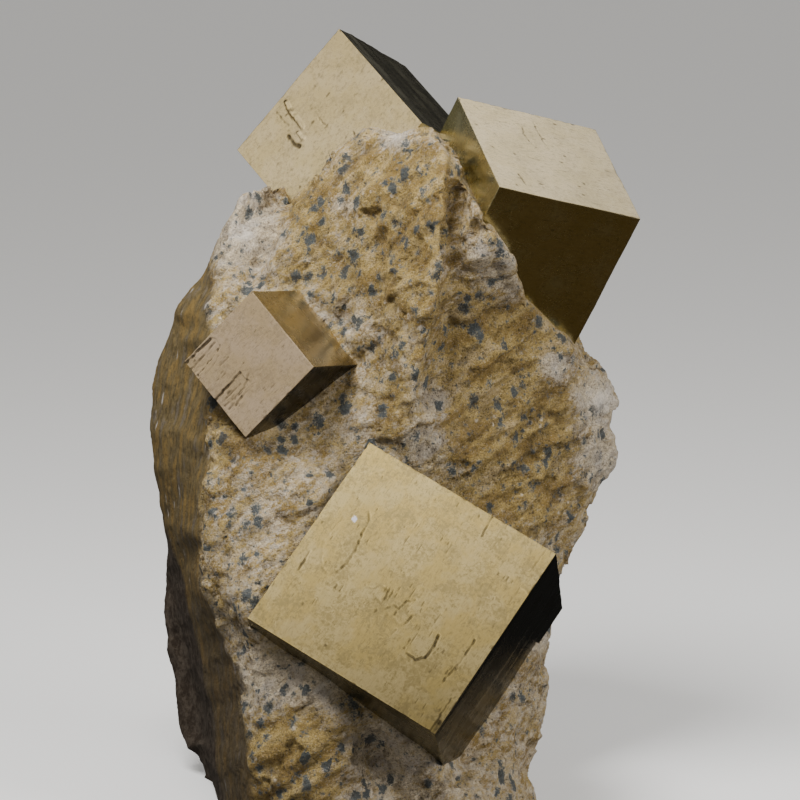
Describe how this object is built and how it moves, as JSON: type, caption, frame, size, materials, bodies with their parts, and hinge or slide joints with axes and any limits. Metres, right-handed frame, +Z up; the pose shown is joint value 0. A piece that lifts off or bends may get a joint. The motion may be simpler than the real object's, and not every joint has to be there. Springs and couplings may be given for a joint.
{
  "type": "pyrite cubes on matrix",
  "caption": "Mineral specimen: brassy pyrite cubes standing on a broken, upright piece of pale speckled rock with a flat base.",
  "frame": {"origin": "on the surface that the rock rests on, below the middle of the whole specimen's box", "axes": "+Z up, +X to the right as the cubes are seen from the front, +Y away from the viewer"},
  "size_m": [0.0832, 0.0876, 0.1281],
  "materials": {
    "matrix": "rough, grainy, ochre to cream marl with small blue-grey specks",
    "pyrite": "satin, pale brass crystal faces with fine growth lines"
  },
  "bodies": {
    "root": {"matrix": "matrix", "pyrite_cube_large": "pyrite", "pyrite_cube_top_left": "pyrite", "pyrite_cube_top_right": "pyrite", "pyrite_cube_small": "pyrite"}
  },
  "joints": []
}
